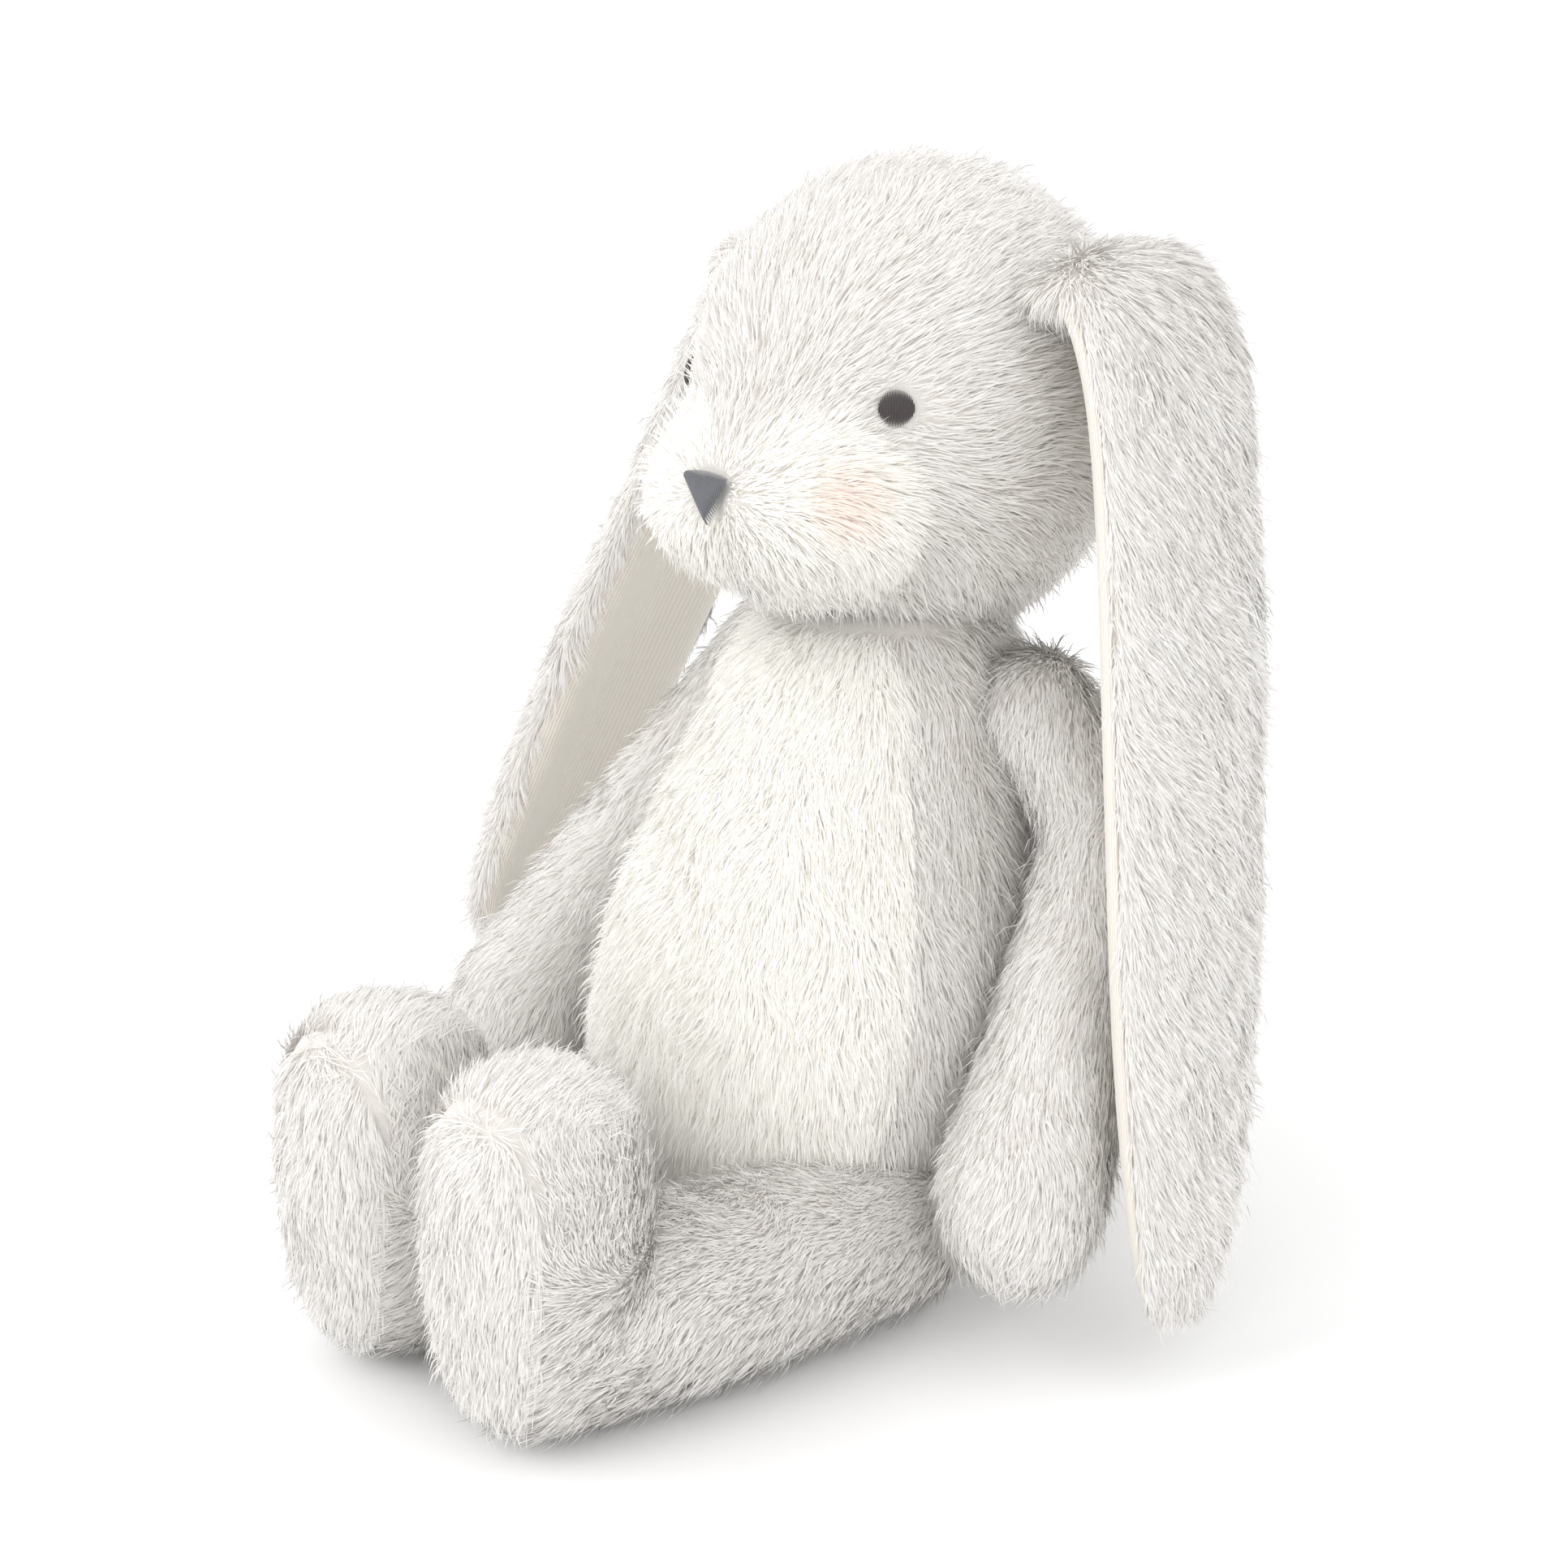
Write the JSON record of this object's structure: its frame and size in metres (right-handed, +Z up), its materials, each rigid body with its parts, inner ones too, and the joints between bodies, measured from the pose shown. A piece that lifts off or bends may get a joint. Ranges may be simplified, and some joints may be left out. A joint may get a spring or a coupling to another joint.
{
  "type": "stuffed bunny rabbit",
  "caption": "Seated plush rabbit with long floppy ears, pale grey fur, white belly and muzzle patches, embroidered eyes and nose, and limbs that turn at their seams.",
  "frame": {"origin": "middle of the flat seat panel that the toy sits on", "axes": "+Z up, the rabbit faces -Y, its left side is +X"},
  "size_m": [0.2534, 0.241, 0.2795],
  "materials": {
    "grey_fur": "matte",
    "white_fur": "matte",
    "velour_lining": "matte",
    "fibre_fill": "matte",
    "pouch_cloth": "matte",
    "beads": "satin",
    "eye_thread": "satin",
    "nose_thread": "satin",
    "label_tape": "satin"
  },
  "bodies": {
    "torso": {"torso_back_cover": "grey_fur", "belly_panel": "white_fur", "seat_panel": "grey_fur", "torso_stuffing": "fibre_fill", "seat_bead_pouch": "pouch_cloth", "seat_beads": "beads", "care_label": "label_tape"},
    "neck": {"neck_stuffing": "fibre_fill"},
    "head": {"head_cover": "grey_fur", "muzzle_panel": "white_fur", "head_stuffing": "fibre_fill", "eye_left": "eye_thread", "eye_right": "eye_thread", "nose": "nose_thread"},
    "tail": {"tail_cover": "grey_fur", "tail_stuffing": "fibre_fill"},
    "ear_left": {"ear_left_back": "grey_fur", "ear_left_lining": "velour_lining"},
    "arm_left": {"arm_left_cover": "grey_fur", "arm_left_stuffing": "fibre_fill", "arm_left_beads": "beads"},
    "leg_left": {"leg_left_cover": "grey_fur", "leg_left_sole": "grey_fur", "leg_left_stuffing": "fibre_fill", "leg_left_beads": "beads"},
    "ear_right": {"ear_right_back": "grey_fur", "ear_right_lining": "velour_lining"},
    "arm_right": {"arm_right_cover": "grey_fur", "arm_right_stuffing": "fibre_fill", "arm_right_beads": "beads"},
    "leg_right": {"leg_right_cover": "grey_fur", "leg_right_sole": "grey_fur", "leg_right_stuffing": "fibre_fill", "leg_right_beads": "beads"}
  },
  "joints": [
    {"name": "neck_turn", "type": "hinge", "parent": "torso", "child": "neck", "pos_m": [0, 0.024, 0.155], "axis": [0, 0, 1], "range_deg": [-18, 18]},
    {"name": "head_nod", "type": "hinge", "parent": "neck", "child": "head", "pos_m": [0, 0.024, 0.155], "axis": [1, 0, 0], "range_deg": [-12, 15]},
    {"name": "tail_flop", "type": "hinge", "parent": "torso", "child": "tail", "pos_m": [0, 0.05, 0.025], "axis": [1, 0, 0], "range_deg": [-15, 15]},
    {"name": "ear_left_lift", "type": "hinge", "parent": "head", "child": "ear_left", "pos_m": [0.046, 0.044, 0.248], "axis": [0, -1, 0], "range_deg": [0, 90]},
    {"name": "arm_left_swing", "type": "hinge", "parent": "torso", "child": "arm_left", "pos_m": [0.044, 0.033, 0.147], "axis": [-1, 0, 0], "range_deg": [-10, 90]},
    {"name": "leg_left_lift", "type": "hinge", "parent": "torso", "child": "leg_left", "pos_m": [0.043, -0.02, 0.023], "axis": [-1, 0, 0], "range_deg": [0, 25]},
    {"name": "ear_right_lift", "type": "hinge", "parent": "head", "child": "ear_right", "pos_m": [-0.046, 0.044, 0.248], "axis": [0, 1, 0], "range_deg": [0, 90]},
    {"name": "arm_right_swing", "type": "hinge", "parent": "torso", "child": "arm_right", "pos_m": [-0.044, 0.033, 0.147], "axis": [-1, 0, 0], "range_deg": [-10, 90]},
    {"name": "leg_right_lift", "type": "hinge", "parent": "torso", "child": "leg_right", "pos_m": [-0.043, -0.02, 0.023], "axis": [-1, 0, 0], "range_deg": [0, 25]}
  ]
}
